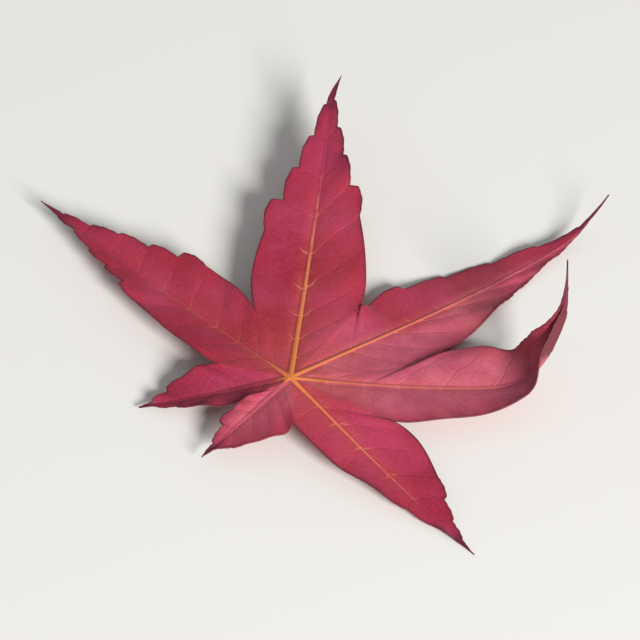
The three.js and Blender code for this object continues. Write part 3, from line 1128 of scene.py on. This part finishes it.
UPPER_FACE = BladeFinish(
    name="upper_face", deep=colour(0.32, 0.014, 0.038), middle=colour(0.44, 0.04, 0.07),
    rosy=colour(0.62, 0.15, 0.19), cool=colour(0.44, 0.045, 0.135), wine=colour(0.25, 0.014, 0.056),
    wine_share=0.4, ember=colour(0.72, 0.22, 0.055), pale=colour(0.62, 0.17, 0.12),
    stain=colour(0.50, 0.085, 0.04), warmth=0.3, net=colour(0.22, 0.008, 0.02), net_share=0.25,
    line=colour(0.09, 0.014, 0.022), dry=colour(0.13, 0.014, 0.03), tip_full=0.5,
    roughness=0.57, sheen=0.14, net_bump=-1.0)
UNDER_FACE = BladeFinish(
    name="under_face", deep=colour(0.34, 0.055, 0.07), middle=colour(0.47, 0.095, 0.11),
    rosy=colour(0.58, 0.17, 0.17), cool=colour(0.45, 0.09, 0.14), wine=colour(0.28, 0.035, 0.06),
    wine_share=0.35, ember=colour(0.66, 0.26, 0.11), pale=colour(0.6, 0.22, 0.16),
    stain=colour(0.5, 0.14, 0.08), warmth=0.25, net=colour(0.28, 0.035, 0.045), net_share=0.4,
    line=colour(0.1, 0.02, 0.022), dry=colour(0.06, 0.006, 0.014), tip_full=0.12,
    roughness=0.62, sheen=0.05, net_bump=1.2)


@dataclass
class MapleLeaf:
    """The whole leaf: its blade with an upper and an under face, and its stalk."""

    blade: Blade = field(default_factory=Blade)
    stalk: Stalk = field(default_factory=Stalk)

    def build(self, box: tuple[Vector, Vector]) -> tuple[list[bpy.types.Object], Array]:
        """Makes and dresses both pieces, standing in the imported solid's box.

        Args:
            box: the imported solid's lowest and highest corner, in metres.

        Returns:
            The pieces, and the hub's foot in millimetres in the shared frame.
        """
        low, high = (np.array(corner) / MM for corner in box)
        blade, layers = self.blade.closed()
        stalk = self.stalk.skin()
        every = np.vstack([blade.points, stalk.points])
        middle = (every.min(axis=0) + every.max(axis=0)) / 2
        offset = (low + high) / 2 - middle
        offset[2] = low[2] - every[:, 2].min()
        groups = LeafGroups.build()
        faces = [UPPER_FACE.material(groups), UNDER_FACE.material(groups)]
        pieces = [
            to_object("leaf_blade", blade, offset, faces, layers),
            to_object("leaf_stalk", stalk, offset, [StalkFinish().material(groups)]),
        ]
        for piece in pieces:
            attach(piece, BODY)
            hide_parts(CAD_NODE)
        return pieces, offset


@dataclass
class Studio:
    """A pale floor, soft lights and a long lens."""

    azimuth: float = 50.6
    elevation: float = 45.0
    width_mm: float = 98.9
    aim_right_mm: float = 4.6
    aim_up_mm: float = 8.9
    lens: float = 600.0
    sensor: float = 36.0
    clip_start: float = 0.01
    floor_half: float = 1.5
    floor_drop: float = 2e-5
    floor_tone: Colour = colour(0.84, 0.832, 0.805)
    sky: float = 0.3
    sky_tone: Colour = colour(0.98, 0.985, 1.0)
    key_tone: tuple[float, float, float] = (1.0, 0.985, 0.96)
    key_power: float = 77.0
    key_size: float = 0.75
    key_distance: float = 2.2
    key_azimuth: float = 79.0
    key_elevation: float = 27.0

    @staticmethod
    def toward(azimuth: float, elevation: float) -> Vector:
        """The direction from which a viewer at this azimuth and elevation looks."""
        a, e = math.radians(azimuth), math.radians(elevation)
        return Vector((math.sin(a) * math.cos(e), -math.cos(a) * math.cos(e), math.sin(e)))

    def camera(self, hub: Vector) -> None:
        """Places the camera, which looks past the hub at the middle of the picture.

        Args:
            hub: the hub, in metres.
        """
        back = self.toward(self.azimuth, self.elevation)
        right = Vector((0, 0, 1)).cross(back).normalized()
        up = back.cross(right)
        aim = hub + right * self.aim_right_mm * MM + up * self.aim_up_mm * MM
        data = bpy.data.cameras.new("camera")
        data.lens = self.lens
        data.sensor_width = self.sensor
        data.clip_start = self.clip_start
        camera = link("camera", data)
        face(camera, aim, back, self.width_mm * MM * self.lens / self.sensor)
        bpy.context.scene.camera = camera

    def floor(self) -> None:
        """A wide pale floor a hair below the height that the leaf lies on."""
        mesh = bpy.data.meshes.new("floor")
        half, low = self.floor_half, -self.floor_drop
        corners = [(-half, -half, low), (half, -half, low), (half, half, low), (-half, half, low)]
        mesh.from_pydata(corners, [], [(0, 1, 2, 3)])
        mesh.materials.append(SkinGraph("floor_paper").dress(
            {"Base Color": self.floor_tone, "Roughness": 0.85, "Specular IOR Level": 0.2}))
        floor = link("floor", mesh)

    def lights(self, target: Vector) -> None:
        """Places a soft key light and an even pale surround.

        Args:
            target: what the key light faces.
        """
        data = bpy.data.lights.new("key", "AREA")
        data.shape = "DISK"
        data.size = self.key_size
        data.energy = self.key_power
        data.color = self.key_tone
        way = self.toward(self.key_azimuth, self.key_elevation)
        face(link("key", data), target, way, self.key_distance)
        world = bpy.data.worlds.new("surround")
        world.use_nodes = True
        surround = world.node_tree.nodes["Background"]
        surround.inputs["Color"].default_value = self.sky_tone
        surround.inputs["Strength"].default_value = self.sky
        bpy.context.scene.world = world

    def build(self, hub: Vector) -> None:
        """Sets up the camera, floor and lights round the leaf, and plain display colours.

        Args:
            hub: the hub, in metres.
        """
        self.camera(hub)
        self.floor()
        self.lights(Vector((0.0, 0.0, hub.z)))
        bpy.context.scene.view_settings.view_transform = "Standard"


def main() -> None:
    """Loads the frame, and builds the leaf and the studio."""
    logging.basicConfig(level=logging.INFO, format="%(name)s: %(message)s")
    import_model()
    pieces, offset = MapleLeaf().build(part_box(CAD_NODE))
    LOG.info("lobes: %s", ", ".join(lobe.name for lobe in LOBES))
    for piece in pieces:
        LOG.info("%s: %d triangles", piece.name, len(piece.data.polygons))
    Studio().build(Vector((offset + np.array([0.0, 0.0, HUB_HEIGHT])) * MM))


if __name__ == "__main__":
    main()
